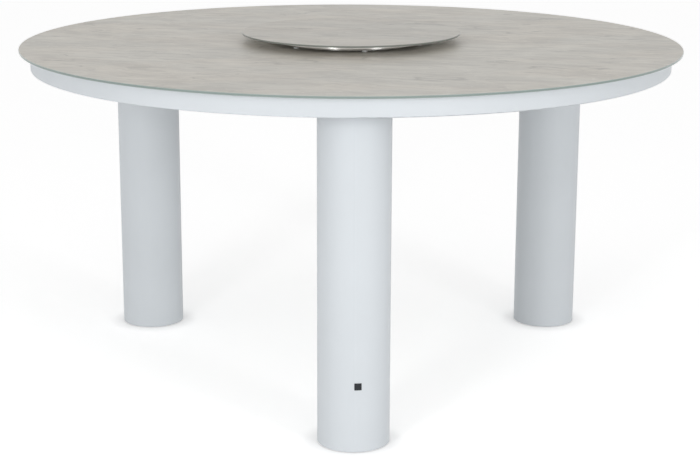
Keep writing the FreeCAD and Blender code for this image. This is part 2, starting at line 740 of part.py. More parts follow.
def susan_balls():
    body = new_body("susan_balls")
    radius = size.ball_diameter / 2
    section = new_sketch(body, "section", "XZ_Plane")
    middle = (ball_circle.value, ball_height.value)
    half_turn = Part.ArcOfCircle(circle_about(*middle, radius.value), -math.pi / 2, math.pi / 2)
    arc = section.addGeometry(half_turn, False)
    top = (middle[0], middle[1] + radius.value)
    bottom = (middle[0], middle[1] - radius.value)
    axis = section.addGeometry(straight(top, bottom), False)
    section.addConstraint(Sketcher.Constraint("Coincident", arc, END, axis, START))
    section.addConstraint(Sketcher.Constraint("Coincident", axis, END, arc, START))
    section.addConstraint(Sketcher.Constraint("PointOnObject", arc, CENTRE, axis))
    section.addConstraint(Sketcher.Constraint("Vertical", axis))
    dimension(section, "radius", radius, "Radius", arc)
    place_x(section, "ball", arc, CENTRE, ball_circle)
    place_y(section, "ball", arc, CENTRE, ball_height)
    repeat_round(body, [revolve(body, "ball", section, "Edge2")], size.ball_count)


def susan_turning_ring():
    """Outer ring of the bearing, with its V race round the inside. It carries the glass plate."""
    body = new_body("susan_turning_ring")
    rim = size.race_bevel
    section = new_sketch(body, "section", "XZ_Plane")
    corners = [
        (turning_ring_inner + rim, turning_ring_bottom),
        (turning_ring_outer, turning_ring_bottom),
        (turning_ring_outer, turning_ring_top),
        (turning_ring_inner + rim, turning_ring_top),
        (turning_ring_inner, turning_ring_top - rim),
        (turning_ring_inner, ball_height + turning_race_mouth),
        (turning_race_floor, ball_height + size.race_relief),
        (turning_race_floor, ball_height - size.race_relief),
        (turning_ring_inner, ball_height - turning_race_mouth),
        (turning_ring_inner, turning_ring_bottom + rim),
    ]
    draw_outline(section, corners)
    revolve(body, "ring", section)
    trim_edges(body, "Fillet", rims(body, turning_ring_outer), size.turning_ring_rounding)


def susan_disc_pads():
    body = new_body("susan_disc_pads")
    outline = new_sketch(body, "outline", offset=turning_ring_top)
    draw_circle(outline, "pad", size.susan_pad_diameter, susan_pad_circle)
    first = pad(body, "pad", outline, size.susan_pad_thickness)
    repeat_round(body, [first], size.susan_foot_count)


glass_plate("table_top_glass", size.top_diameter, size.glass_thickness, glass_bottom)
frame_ring()
frame_hub()
frame_hub_cap()
ring_pads()
beam_pads()
hub_pad()
for leg_side, leg_azimuth in LEGS.items():
    for make in (frame_beam, leg_mount_plate, leg_tube, leg_top_plate, leg_bottom_plate, foot_glide):
        make(leg_side, leg_azimuth)
leg_bolts()
leg_bolt_washers()
susan_feet()
susan_fixed_ring()
susan_filler_plug()
susan_ball_cage()
susan_balls()
susan_turning_ring()
susan_disc_pads()
susan_plate = (size.susan_diameter, size.susan_glass_thickness, susan_glass_bottom)
glass_plate("susan_disc", *susan_plate)

doc.recompute()
failed = [item.Name for item in doc.Objects if {"Invalid", "Error"} & set(item.State)]
if failed:
    raise RuntimeError(f"these objects failed: {failed}")
sketches = [item for item in doc.Objects if item.isDerivedFrom("Sketcher::SketchObject")]
loose = [sketch.Name for sketch in sketches if not sketch.FullyConstrained]
if loose:
    raise RuntimeError(f"these sketches aren't fully constrained: {loose}")
for subpart in subparts:
    if subpart.Shape.isNull() or not subpart.Shape.isValid():
        raise RuntimeError(f"{subpart.Label} has no valid shape")
for subpart in subparts:
    subpart.Shape.exportStep(f"parts/{subpart.Label}.step")
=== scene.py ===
from math import asin, ceil, cos, pi, radians, sin, sqrt

import bmesh
import bpy
from bpy.props import FloatProperty, FloatVectorProperty, PointerProperty
from mathutils import Matrix, Vector


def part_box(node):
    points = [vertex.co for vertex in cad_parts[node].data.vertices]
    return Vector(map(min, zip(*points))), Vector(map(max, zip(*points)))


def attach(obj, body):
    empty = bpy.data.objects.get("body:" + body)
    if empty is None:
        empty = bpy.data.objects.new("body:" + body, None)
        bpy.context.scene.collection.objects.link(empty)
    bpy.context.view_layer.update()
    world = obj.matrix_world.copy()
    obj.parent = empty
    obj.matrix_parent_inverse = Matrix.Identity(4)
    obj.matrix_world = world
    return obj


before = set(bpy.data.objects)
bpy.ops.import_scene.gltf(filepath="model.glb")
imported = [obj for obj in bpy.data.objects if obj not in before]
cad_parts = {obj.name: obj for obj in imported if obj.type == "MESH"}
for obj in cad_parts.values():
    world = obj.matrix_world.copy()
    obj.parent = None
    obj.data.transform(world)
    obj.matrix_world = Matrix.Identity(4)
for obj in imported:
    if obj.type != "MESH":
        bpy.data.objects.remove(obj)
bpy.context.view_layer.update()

bl_info = {
    "name": "Round dining table with lazy susan",
    "version": (1, 0, 0),
    "blender": (4, 5, 0),
    "location": "View3D > Sidebar > Table",
    "description": "Finishes, welds, nameplate and studio for a round glass-topped table",
    "category": "Object",
}

SIDES = ("front", "right", "left")
DOWN = Vector((0, 0, -1))


def span(node):
    """How far a node reaches along x, y and z."""
    low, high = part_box(node)
    return high - low


def middle(node):
    """The middle of a node's box."""
    low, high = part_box(node)
    return (low + high) / 2


# Places that the welds, the nameplate and the stage are set out from
BEAM_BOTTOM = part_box("frame_hub")[0].z
BEAM_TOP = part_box("frame_hub")[1].z
BEAM_HALF_WIDTH = span("frame_beam_front").x / 2
HUB_RADIUS = span("frame_hub").x / 2
RING_BORE = -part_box("frame_beam_front")[0].y
LEG_RADIUS = span("leg_tube_front").x / 2
LEG_AXES = {side: middle(f"leg_tube_{side}").to_2d() for side in SIDES}
PLATE_RADIUS = span("leg_mount_plate_front").x / 2


# --- Sizes and colours that a user would change -----------------------------------------


def colour(name, description, default):
    """A colour property, in linear light."""
    return FloatVectorProperty(
        name=name,
        description=description,
        subtype="COLOR",
        size=3,
        min=0,
        max=1,
        default=default,
    )


def length(name, description, default):
    """A length property, in metres."""
    return FloatProperty(
        name=name, description=description, unit="LENGTH", min=0, default=default
    )


def share(name, description, default):
    """A property from 0 to 1."""
    return FloatProperty(
        name=name, description=description, subtype="FACTOR", min=0, max=1, default=default
    )


def power(name, description, default):
    """A lamp's power, in watts."""
    return FloatProperty(
        name=name, description=description, unit="POWER", min=0, default=default
    )


class StonePrintSizes(bpy.types.PropertyGroup):
    """The stone look that is printed under the glass of the top and the lazy susan."""

    light: colour("Light", "Palest part of the print", (0.744, 0.720, 0.665))
    dark: colour("Dark", "Darkest part of the soft clouds", (0.572, 0.551, 0.509))
    vein: colour("Vein", "The few dark veins", (0.36, 0.345, 0.315))
    fleck: colour("Fleck", "Small pale flecks", (0.82, 0.80, 0.75))
    warm: colour("Warm cast", "Tint of the warmer areas", (1.0, 0.98, 0.955))
    cool: colour("Cool cast", "Tint of the cooler areas", (0.985, 0.985, 0.975))
    edge: colour("Edge of the top", "Ground edge, seen into the glass", (0.262, 0.316, 0.298))
    # The disc's edge is darker than the top's edge: painted shade, for the dark gap under the
    # disc that it reflects
    shaded_disc_edge: colour("Edge of the disc", "The same on the thin disc", (0.185, 0.196, 0.178))
    back: colour("Back coat", "Pale enamel behind the print", (0.80, 0.80, 0.78))
    cloud: length("Cloud", "Length of a middling cloud", 0.15)
    wisp: length("Wisp", "Length of a middling wisp", 0.055)
    lie: FloatProperty(
        name="Lie", description="How the pattern runs", subtype="ANGLE", default=radians(-14)
    )
    sheen: share("Roughness", "Roughness of the satin top", 0.42)


class PowderCoatSizes(bpy.types.PropertyGroup):
    """Fine powder coat on the frame, legs and welds."""

    coat: colour("Coat", "Pale blue-grey coat", (0.706, 0.744, 0.776))
    peel: length("Orange peel", "Width of one dimple of the coat", 0.0011)
    roughness: share("Roughness", "Roughness of the coat", 0.5)


class WeldSizes(bpy.types.PropertyGroup):
    """Fillet welds of the frame."""

    leg: length("Leg", "Leg of the fillet", 0.0042)
    ripple: length("Ripple", "From one ripple of the bead to the next", 0.0021)
    ripple_height: length("Ripple height", "How far a ripple stands up", 0.00028)


class BearingSizes(bpy.types.PropertyGroup):
    """Turned rings, balls and cage of the lazy susan."""

    ring: colour("Ring", "Turned aluminium", (0.86, 0.85, 0.83))
    cut: length("Tool marks", "From one turned line to the next", 0.00035)
    ball: colour("Ball", "Hardened steel", (0.56, 0.57, 0.58))
    cage: colour("Cage", "Moulded natural nylon", (0.78, 0.78, 0.74))


class FittingSizes(bpy.types.PropertyGroup):
    """Pads, glides, bolts and nameplate."""

    silicone: colour("Silicone", "Pads and feet", (0.60, 0.61, 0.60))
    glide: colour("Glide", "Polyethylene under the legs", (0.66, 0.67, 0.67))
    steel: colour("Bolt", "Stainless steel", (0.54, 0.53, 0.51))
    plate: colour("Nameplate", "Dark anodised plate, left bare", (0.028, 0.030, 0.034))
    plate_side: length("Nameplate side", "Side of the square plate", 0.0148)
    plate_thickness: length("Nameplate thickness", "How far it stands off the leg", 0.0007)
    plate_height: length("Nameplate height", "Its middle, from the floor", 0.142)
    plate_offset: length("Nameplate offset", "Its middle, right of the leg's front", 0.0077)


class StageSizes(bpy.types.PropertyGroup):
    """Floor, lamps and camera."""

    floor: colour("Floor", "Pale floor", (0.78, 0.78, 0.78))
    floor_radius: length("Floor radius", "Reach of the floor", 25.0)
    floor_glow: share("Floor glow", "Lifts the floor to white for the camera alone", 0.42)
    horizon: FloatProperty(
        name="Horizon", description="Light from the walls, all round", min=0, default=1.26
    )
    zenith: share("Zenith", "Light from the ceiling", 0.52)
    lean: share("Lean", "How much more light comes from the front than from behind", 0.3)
    left: power("Left lamp", "Tall soft lamp, front left", 31.0)
    right: power("Right lamp", "Tall soft lamp, front right", 25.0)
    front: power("Front lamp", "Wide soft lamp, behind the camera", 7.0)
    lens: FloatProperty(
        name="Lens", description="Focal length", unit="CAMERA", min=1, default=88.69
    )


GROUPS = {
    "stone_print": StonePrintSizes,
    "powder_coat": PowderCoatSizes,
    "welds": WeldSizes,
    "bearing": BearingSizes,
    "fittings": FittingSizes,
    "stage": StageSizes,
}


# --- Shader maths -----------------------------------------------------------------------


class Value:
    """A socket that stands in Python expressions: an operator adds the Math node it means."""

    def __init__(self, nodes, socket):
        self.nodes = nodes
        self.socket = socket

    def out(self, name):
        """Another output of the same node."""
        return Value(self.nodes, self.socket.node.outputs[name])

    def math(self, operation, *others):
        """A Math node on this value and others."""
        return self.nodes.maths(operation, self, *others)

    def __add__(self, other):
        return self.math("ADD", other)

    def __sub__(self, other):
        return self.math("SUBTRACT", other)

    def __rsub__(self, other):
        return self.nodes.maths("SUBTRACT", other, self)

    def __mul__(self, other):
        return self.math("MULTIPLY", other)

    def __abs__(self):
        return self.math("ABSOLUTE")

    __radd__ = __add__
    __rmul__ = __mul__

    def between(self, low, high):
        """0 at low, 1 at high, with a smooth step from one to the other."""
        return self.nodes.add(
            "ShaderNodeMapRange",
            {"interpolation_type": "SMOOTHSTEP"},
            {"Value": self, "From Min": low, "From Max": high},
        )


class Nodes:
    """The nodes of one material or world."""

    def __init__(self, tree):
        self.tree = tree
        tree.nodes.clear()

    def add(self, kind, settings=None, inputs=None, output=0):
        """Adds a node: its settings, then the values and links of its sockets."""
        node = self.tree.nodes.new(kind)
        for name, setting in (settings or {}).items():
            setattr(node, name, setting)
        for name, value in (inputs or {}).items():
            socket = node.inputs[name]
            if isinstance(value, Value):
                self.tree.links.new(value.socket, socket)
            elif socket.type == "RGBA":
                socket.default_value = (*value, 1.0)
            else:
                socket.default_value = value
        return Value(self, node.outputs[output] if node.outputs else None)

    def maths(self, operation, *values):
        """A Math node on numbers and values."""
        return self.add("ShaderNodeMath", {"operation": operation}, dict(enumerate(values)))

    def vector(self, operation, *vectors):
        """A Vector Math node on vectors."""
        settings = {"operation": operation}
        return self.add("ShaderNodeVectorMath", settings, dict(enumerate(vectors)))

    def parts(self, vector):
        """The X of a vector, whose Y and Z are the same node's other outputs."""
        return self.add("ShaderNodeSeparateXYZ", inputs={"Vector": vector}, output="X")

    def in_sight(self):
        """1 for what is seen, straight on, mirrored or through glass, and 0 for the rest."""
        path = self.add("ShaderNodeLightPath", output="Is Camera Ray")
        mirrored = path.math("MAXIMUM", path.out("Is Glossy Ray"))
        return mirrored.math("MAXIMUM", path.out("Is Transmission Ray"))


class Finish(Nodes):
    """A surface finish: a material and the nodes that make it."""

    def __init__(self, name):
        self.material = bpy.data.materials.new(name)
        self.material.use_nodes = True
        super().__init__(self.material.node_tree)

    def place(self, shift=(0, 0, 0)):
        """Where the surface is on its own piece, in metres."""
        here = self.add("ShaderNodeTexCoord", output="Object")
        return self.add("ShaderNodeMapping", inputs={"Vector": here, "Location": shift})

    def facing(self):
        """How far the surface faces up, from -1 to 1."""
        return self.parts(self.add("ShaderNodeNewGeometry", output="Normal")).out("Z")

    def noise(self, place, size, detail=2.0, rough=0.5):
        """Cloudy noise with features of this size, one size or one for each of x, y and z."""
        if isinstance(size, (int, float)):
            size = (size, size, size)
        scale = tuple(1 / step for step in size)
        place = self.add("ShaderNodeMapping", inputs={"Vector": place, "Scale": scale})
        inputs = {"Vector": place, "Scale": 1.0, "Detail": detail, "Roughness": rough}
        return self.add("ShaderNodeTexNoise", inputs=inputs)

    def mix(self, factor, first, second, blend="MIX"):
        """Mixes two colours."""
        settings = {"data_type": "RGBA", "blend_type": blend}
        return self.add("ShaderNodeMix", settings, {0: factor, 6: first, 7: second}, output=2)

    def bump(self, height, distance, strength=1.0):
        """A normal that follows a height, which stands up by a distance at most."""
        inputs = {"Height": height, "Distance": distance, "Strength": strength}
        return self.add("ShaderNodeBump", inputs=inputs, output="Normal")

    def surface(self, **sockets):
        """Ends the material in a Principled shader, and returns the material."""
        inputs = {name.replace("_", " "): value for name, value in sockets.items()}
        shader = self.add("ShaderNodeBsdfPrincipled", inputs=inputs, output="BSDF")
        self.add("ShaderNodeOutputMaterial", inputs={"Surface": shader})
        return self.material


# --- Finishes ---------------------------------------------------------------------------

# The print is flat: up through the glass its patterns are a metre long, and hardly change
THROUGH = 1
# Width of each pattern across the way it runs, in its own lengths
CLOUD_WIDTH = 0.42
WISP_WIDTH = 0.3
GRAIN_SIZE = (0.0045, 0.003, THROUGH)
FLECK_SIZE = (0.016, 0.009, THROUGH)

# How much each pattern adds to the tone of the stone, and the sums where it is darkest and
# palest
CLOUD_SHARE = 0.95
WISP_SHARE = 0.75
GRAIN_SHARE = 0.2
TONE_RANGE = (0.66, 1.24)

# Where the flecks begin and are whole, and their strength
FLECK_RANGE = (0.66, 0.76)
FLECK_STRENGTH = 0.6

# Veins: size in clouds, half width, where they begin and are whole, strength, and tone
VEINS = (
    (1.9, 0.02, 0.52, 0.62, 0.5, "vein"),
    (0.7, 0.022, 0.55, 0.65, 0.32, "vein"),
    (0.8, 0.035, 0.5, 0.64, 0.3, "light"),
)

EDGE_ROUGHNESS = 0.12


def times(factor, tone):
    """A colour, made lighter or darker."""
    return tuple(factor * level for level in tone)


def stone_print(finish, look, place, grain, shade):
    """The colour of the stone: clouds, wisps and grain, pale flecks, a tint and some veins."""
    tones = {
        tone: times(shade, getattr(look, tone)) for tone in ("light", "dark", "vein", "fleck")
    }
    cloud = look.cloud
    lying = finish.add(
        "ShaderNodeMapping", inputs={"Vector": place, "Rotation": (0, 0, -look.lie)}
    )

    # The clouds are pulled about a little, as in sawn stone
    sway = finish.noise(lying, cloud * 1.3, detail=3).out("Color")
    pull = finish.vector("SUBTRACT", sway, (0.5, 0.5, 0.5))
    pulled = finish.vector("MULTIPLY_ADD", pull, (cloud, cloud * 0.6, 0), lying)

    clouds = finish.noise(pulled, (cloud, cloud * CLOUD_WIDTH, THROUGH), detail=5, rough=0.6)
    wisp = (look.wisp, look.wisp * WISP_WIDTH, THROUGH)
    wisps = finish.noise(pulled, wisp, detail=5, rough=0.62)
    tone = clouds * CLOUD_SHARE + wisps * WISP_SHARE + grain * GRAIN_SHARE
    stone = finish.mix(tone.between(*TONE_RANGE), tones["dark"], tones["light"])
    flecks = finish.noise(pulled, FLECK_SIZE, detail=1).between(*FLECK_RANGE)
    stone = finish.mix(flecks * FLECK_STRENGTH, stone, tones["fleck"])

    cast = finish.noise(place, (cloud * 2, cloud, THROUGH), detail=2)
    tint = finish.mix(cast.between(0.35, 0.65), look.warm, look.cool)
    stone = finish.mix(1.0, stone, tint, "MULTIPLY")

    # Soft dark veins, broken up, and fine pale ones
    for clouds_long, width, begin, whole, strength, streak in VEINS:
        size = cloud * clouds_long
        vein = (size, size * CLOUD_WIDTH, THROUGH)
        ridge = abs(finish.noise(pulled, vein, detail=4, rough=0.45) - 0.5)
        where = finish.noise(lying, (size * 0.55, size * 0.3, THROUGH), detail=2)
        line = (1 - ridge.between(0.0, width)) * where.between(begin, whole)
        stone = finish.mix(line * strength, stone, tones[streak])
    return stone


def printed_glass(name, look, shift, edge, shade=1.0):
    """Satin glass with a stone print behind it, a polished green edge and an enamelled back."""
    finish = Finish(name)
    place = finish.place(shift)
    grain = finish.noise(place, GRAIN_SIZE, detail=3, rough=0.7)
    stone = stone_print(finish, look, place, grain, shade)

    up = finish.facing()
    flat = abs(up)
    # The bevel along the edge is paler: partly the frost of its grinding, partly a painted
    # highlight along it
    edge_and_arris_highlight = finish.mix(flat.between(0.2, 0.5), edge, times(1.5, edge))
    faces = finish.mix(up.between(-0.1, 0.1), look.back, stone)
    on_face = flat.between(0.88, 0.95)
    rougher = look.sheen - EDGE_ROUGHNESS + grain * 0.06
    return finish.surface(
        Base_Color=finish.mix(on_face, edge_and_arris_highlight, faces),
        Roughness=on_face * rougher + EDGE_ROUGHNESS,
        Normal=finish.bump(grain * on_face, distance=0.00004),
        IOR=1.52,
        Specular_IOR_Level=0.32,
    )


def powder_coat(look):
    """Fine powder coat, with the faint dimples of its spray and scuffs near the floor."""
    finish = Finish("powder_coat")
    place = finish.place()
    peel = finish.noise(place, look.peel, detail=2, rough=0.6)
    cloud = finish.noise(place, 0.25, detail=3)
    height = finish.parts(place).out("Z")
    scuff = finish.noise(place, (0.012, 0.012, 0.002), detail=3, rough=0.7)
    scuff = scuff.between(0.6, 0.75) * (1 - height.between(0.004, 0.03))
    coat = finish.mix(cloud.between(0.3, 0.7), times(0.965, look.coat), look.coat)
    return finish.surface(
        Base_Color=finish.mix(scuff * 0.6, coat, times(0.72, look.coat)),
        Roughness=look.roughness + (peel - 0.5) * 0.12 + scuff * 0.15,
        Normal=finish.bump(peel, distance=0.00006, strength=0.6),
    )


def turned_metal(name, metal, cut, roughness):
    """Metal with the fine rings that a lathe leaves round its axis."""
    finish = Finish(name)
    place = finish.place()
    spot = finish.parts(place)
    side = spot.out("Y")
    reach = (spot * spot + side * side).math("SQRT") + spot.out("Z")

    def turned(pitch):
        """Noise that changes only from one turned ring to the next."""
        inputs = {"W": reach * (1 / pitch), "Scale": 1.0, "Detail": 2.0}
        return finish.add("ShaderNodeTexNoise", {"noise_dimensions": "1D"}, inputs)

    lines = turned(cut)
    bands = turned(cut * 7)
    smear = finish.noise(place, (0.03, 0.03, 0.004), detail=3)
    dulled = (smear * 0.5 + bands).between(0.55, 0.95)
    return finish.surface(
        Base_Color=finish.mix(dulled, metal, times(0.82, metal)),
        Metallic=1.0,
        Roughness=(smear - 0.5) * 0.08 + (lines + bands - 1) * 0.12 + roughness,
        Anisotropic=0.85,
        Anisotropic_Rotation=0.25,
        Normal=finish.bump(lines, distance=0.00003),
    )


def polished_steel(name, metal, roughness):
    """Hard steel with a few hairline scratches."""
    finish = Finish(name)
    place = finish.place()
    scratch = finish.noise(place, (0.0004, 0.003, 0.0004), detail=2)
    smear = finish.noise(place, 0.004, detail=2)
    return finish.surface(
        Base_Color=finish.mix(smear.between(0.35, 0.7), metal, times(0.85, metal)),
        Metallic=1.0,
        Roughness=roughness + scratch.between(0.55, 0.75) * 0.15,
        Normal=finish.bump(scratch, distance=0.00001),
    )


# Grime on plastic that is rubbed along the floor
FLOOR_DIRT = (0.3, 0.29, 0.27)


def moulded_plastic(name, plastic, roughness, texture, wear=0.0):
    """Moulded or cast plastic: an even grain, a cloudy tone and a rubbed underside."""
    finish = Finish(name)
    place = finish.place()
    grain = finish.noise(place, texture, detail=2, rough=0.6)
    cloud = finish.noise(place, 0.02, detail=3)
    rubs = finish.noise(place, (0.0008, 0.02, 0.001), detail=3, rough=0.7)
    rubbed = rubs.between(0.5, 0.7) * (1 - finish.facing().between(-0.9, -0.6)) * wear
    clean = finish.mix(cloud.between(0.3, 0.7), times(0.9, plastic), plastic)
    return finish.surface(
        Base_Color=finish.mix(rubbed, clean, FLOOR_DIRT),
        Roughness=roughness + (grain - 0.5) * 0.15 + rubbed * 0.2,
        Normal=finish.bump(grain, distance=0.00004),
    )


def dark_anodised(dark):
    """Brushed plate under a dark coat, rubbed paler here and there."""
    finish = Finish("dark_anodised")
    place = finish.place()
    brushed = finish.noise(place, (0.004, 0.004, 0.00012), detail=2)
    worn = finish.noise(place, 0.003, detail=3).between(0.55, 0.8)
    return finish.surface(
        Base_Color=finish.mix(worn * 0.5, dark, times(2.2, dark)),
        Metallic=0.6,
        Roughness=0.36 + (brushed - 0.5) * 0.2,
        Normal=finish.bump(brushed, distance=0.00002),
    )


# --- Helpers ----------------------------------------------------------------------------


def sizes(group):
    """The values of one of the property groups."""
    return getattr(bpy.context.scene, group)


def finish_of(name):
    """A finish that an earlier step made."""
    return bpy.data.materials[name]


def dress(material, *nodes):
    """Gives CAD nodes a finish."""
    for node in nodes:
        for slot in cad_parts[node].material_slots:
            slot.material = material


def each_side(*stems):
    """The names of nodes that there are three of, one on each side."""
    return [f"{stem}_{side}" for stem in stems for side in SIDES]


def new_piece(name, mesh, material):
    """A new piece in the scene, fixed to the frame of the table."""
    data = bpy.data.meshes.new(name)
    bmesh.ops.recalc_face_normals(mesh, faces=mesh.faces)
    mesh.to_mesh(data)
    mesh.free()
    data.materials.append(material)
    piece = bpy.data.objects.new(name, data)
    bpy.context.scene.collection.objects.link(piece)
    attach(piece, "table")
    return piece


def join_rings(mesh, rings):
    """Closes a row of like rings of points into one solid."""
    for low, high in zip(rings, rings[1:]):
        for number in range(len(low)):
            after = (number + 1) % len(low)
            mesh.faces.new((low[number], low[after], high[after], high[number]))
    mesh.faces.new(reversed(rings[0]))
    mesh.faces.new(rings[-1])


# --- Welds ------------------------------------------------------------------------------

# Points of the bead's section between the two faces, and stops along one ripple
BEAD_STEPS = 7
RIPPLE_STEPS = 5

# A bead starts and ends at this share of its size, and is whole after this many stops
BEAD_END = 0.45
BEAD_RUN_IN = 2 * RIPPLE_STEPS

# How full the bead is in its middle, how far its ripples are pushed forward there, in
# ripples, how much of a ripple is left at its toes, and the roundness of its section
BEAD_CROWN = 0.12
RIPPLE_BOW = 0.35
TOE_RIPPLE = 0.3
BEAD_ROUND = 0.8

# How far the upright beads stop below the beam's top, and the plates' beads inside the rim
BEAD_TOP_GAP = 0.002
PLATE_RIM_GAP = 0.003


def lay_bead(mesh, path, size):
    """Lays a fillet bead along a path, in the corner between two faces.

    Each stop of the path is a point of the corner, and the directions that lead away from it
    along the two faces.
    """
    rows = []
    run = 0.0
    last = len(path) - 1
    for number, (point, first, second) in enumerate(path):
        if number:
            run += (point - path[number - 1][0]).length
        inside = min(number, last - number) / BEAD_RUN_IN
        taper = min(1.0, BEAD_END + (1 - BEAD_END) * inside)
        row = [mesh.verts.new(point)]
        for step in range(BEAD_STEPS + 1):
            turn = step / BEAD_STEPS
            bow = sin(pi * turn)
            ripple = sin(2 * pi * (run / size.ripple + RIPPLE_BOW * bow))
            ripple *= TOE_RIPPLE + (1 - TOE_RIPPLE) * bow
            swell = 1 + BEAD_CROWN * bow + size.ripple_height / size.leg * ripple
            reach = size.leg * taper * swell
            along = first * (1 - turn) ** BEAD_ROUND + second * turn**BEAD_ROUND
            row.append(mesh.verts.new(point + along * reach))
        rows.append(row)
    join_rings(mesh, rows)


def straight_path(start, end, step, first, second):
    """Stops from start to end, about one step apart."""
    count = max(2, ceil((end - start).length / step))
    return [(start.lerp(end, number / count), first, second) for number in range(count + 1)]


def beam_side_paths(out, radius, inward, step):
    """The two upright edges of a beam's end, against a round wall of this radius."""
    across = Vector((-out.y, out.x, 0))
    reach = sqrt(radius**2 - BEAM_HALF_WIDTH**2)
    paths = []
    for hand in (-1, 1):
        foot = out * reach + across * BEAM_HALF_WIDTH * hand
        low = foot + Vector((0, 0, BEAM_BOTTOM))
        high = foot + Vector((0, 0, BEAM_TOP - BEAD_TOP_GAP))
        wall = (across * reach - out * BEAM_HALF_WIDTH * hand).normalized() * hand
        paths.append(straight_path(low, high, step, wall, out * inward))
    return paths


def beam_end_path(out, step):
    """The lower edge of a beam's end, along the bore of the ring."""
    half_turn = asin(BEAM_HALF_WIDTH / RING_BORE)
    count = ceil(2 * BEAM_HALF_WIDTH / step)
    path = []
    for number in range(count + 1):
        ray = Matrix.Rotation(half_turn * (2 * number / count - 1), 3, "Z") @ out
        path.append((ray * RING_BORE + Vector((0, 0, BEAM_BOTTOM)), -ray, DOWN))
    return path


def leg_plate_paths(side, step, leg):
    """The two long edges where a beam stands on its leg's mount plate."""
    centre = LEG_AXES[side].to_3d() + Vector((0, 0, BEAM_BOTTOM))
    out = LEG_AXES[side].to_3d().normalized()
    across = Vector((-out.y, out.x, 0))
    reach = sqrt((PLATE_RADIUS - PLATE_RIM_GAP) ** 2 - (BEAM_HALF_WIDTH + leg) ** 2)
    paths = []
    for hand in (-1, 1):
        corner = centre + across * BEAM_HALF_WIDTH * hand
        ends = (corner - out * reach, corner + out * reach)
        paths.append(straight_path(*ends, step, across * hand, -DOWN))
    return paths


class TABLE_OT_weld_frame(bpy.types.Operator):
    """Lay the fillet welds that hold the beams to the ring, the hub and the leg plates"""

    bl_idname = "table.weld_frame"
    bl_label = "Weld the frame"

    def execute(self, context):
        size = sizes("welds")
        step = size.ripple / RIPPLE_STEPS
        for side in SIDES:
            out = LEG_AXES[side].to_3d().normalized()
            ring = beam_side_paths(out, RING_BORE, -1, step) + [beam_end_path(out, step)]
            hub = beam_side_paths(out, HUB_RADIUS, 1, step)
            plate = leg_plate_paths(side, step, size.leg)
            for spot, paths in (("ring", ring), ("hub", hub), ("leg_plate", plate)):
                mesh = bmesh.new()
                for path in paths:
                    lay_bead(mesh, path, size)
                weld = new_piece(f"weld_{spot}_{side}", mesh, finish_of("powder_coat"))
                weld.data.shade_smooth()
        return {"FINISHED"}


# --- Pieces -----------------------------------------------------------------------------

# The disc's own part of the stone pattern, and how much darker its print is than the top's
DISC_SHIFT = (1.7, 0.6, 0)
DISC_SHADE = 0.915

# Rings of the nameplate's mesh: how far each is drawn in, and its height, in thicknesses
PLATE_RINGS = ((0.0, 0.0), (0.0, 0.72), (0.09, 0.93), (0.28, 1.0))
PLATE_SIDE_STEPS = 12
PLATE_CORNER_STEPS = 4
# Radius of the nameplate's corners, as a share of half its side
PLATE_CORNER = 0.12


class TABLE_OT_print_glass(bpy.types.Operator):
    """Print the top and the lazy susan's disc, each from its own part of the stone pattern"""

    bl_idname = "table.print_glass"
    bl_label = "Print the glass"

    def execute(self, context):
        look = sizes("stone_print")
        top = printed_glass("printed_top", look, (0, 0, 0), look.edge)
        disc = printed_glass("printed_disc", look, DISC_SHIFT, look.shaded_disc_edge, DISC_SHADE)
        dress(top, "table_top_glass")
        dress(disc, "susan_disc")
        return {"FINISHED"}


class TABLE_OT_coat_frame(bpy.types.Operator):
    """Powder-coat the ring, beams, hub and leg plates, and the legs"""

    bl_idname = "table.coat_frame"
    bl_label = "Coat the frame and legs"

    def execute(self, context):
        coat = powder_coat(sizes("powder_coat"))
        dress(coat, "frame_ring", "frame_hub", "frame_hub_cap")
        dress(coat, *each_side("frame_beam", "leg_mount_plate", "leg_tube"))
        dress(coat, *each_side("leg_top_plate", "leg_bottom_plate"))
        return {"FINISHED"}


class TABLE_OT_finish_bearing(bpy.types.Operator):
    """Finish the lazy susan's turned rings, balls, cage and filler plug"""

    bl_idname = "table.finish_bearing"
    bl_label = "Finish the bearing"

    def execute(self, context):
        look = sizes("bearing")
        rings = turned_metal("turned_aluminium", look.ring, look.cut, roughness=0.2)
        balls = polished_steel("ball_steel", look.ball, roughness=0.08)
        plug = polished_steel("plug_steel", sizes("fittings").steel, roughness=0.25)
        cage = moulded_plastic("cage_nylon", look.cage, roughness=0.45, texture=0.0005)
        dress(rings, "susan_fixed_ring", "susan_turning_ring")
        dress(balls, "susan_balls")
        dress(plug, "susan_filler_plug")
        dress(cage, "susan_ball_cage")
        return {"FINISHED"}


class TABLE_OT_finish_fittings(bpy.types.Operator):
    """Finish the silicone pads and feet, the floor glides and the leg bolts"""

    bl_idname = "table.finish_fittings"
    bl_label = "Finish the fittings"

    def execute(self, context):
        look = sizes("fittings")
        silicone = moulded_plastic(
            "silicone_rubber", look.silicone, roughness=0.55, texture=0.0007
        )
        glide = moulded_plastic(
            "glide_polyethylene", look.glide, roughness=0.5, texture=0.0009, wear=0.5
        )
        steel = polished_steel("stainless_steel", look.steel, roughness=0.3)
        dress(silicone, "ring_pads", "beam_pads", "hub_pad", "susan_disc_pads", "susan_feet")
        dress(glide, *each_side("foot_glide"))
        dress(steel, "leg_bolts", "leg_bolt_washers")
        return {"FINISHED"}


class TABLE_OT_fix_nameplate(bpy.types.Operator):
    """Fix the small dark nameplate, left bare, low on the front leg"""

    bl_idname = "table.fix_nameplate"
    bl_label = "Fix the nameplate"

    def execute(self, context):
        size = sizes("fittings")
        half = size.plate_side / 2
        axis = LEG_AXES["front"].to_3d()
        mesh = bmesh.new()
        rings = []
        for inset, height in PLATE_RINGS:
            outline = rounded_square(half - inset * size.plate_thickness, half * PLATE_CORNER)
            radius = LEG_RADIUS + size.plate_thickness * height
            rings.append(
                [mesh.verts.new(wrap(across, up, radius, size, axis)) for across, up in outline]
            )
        join_rings(mesh, rings)
        new_piece("nameplate", mesh, dark_anodised(size.plate))
        return {"FINISHED"}


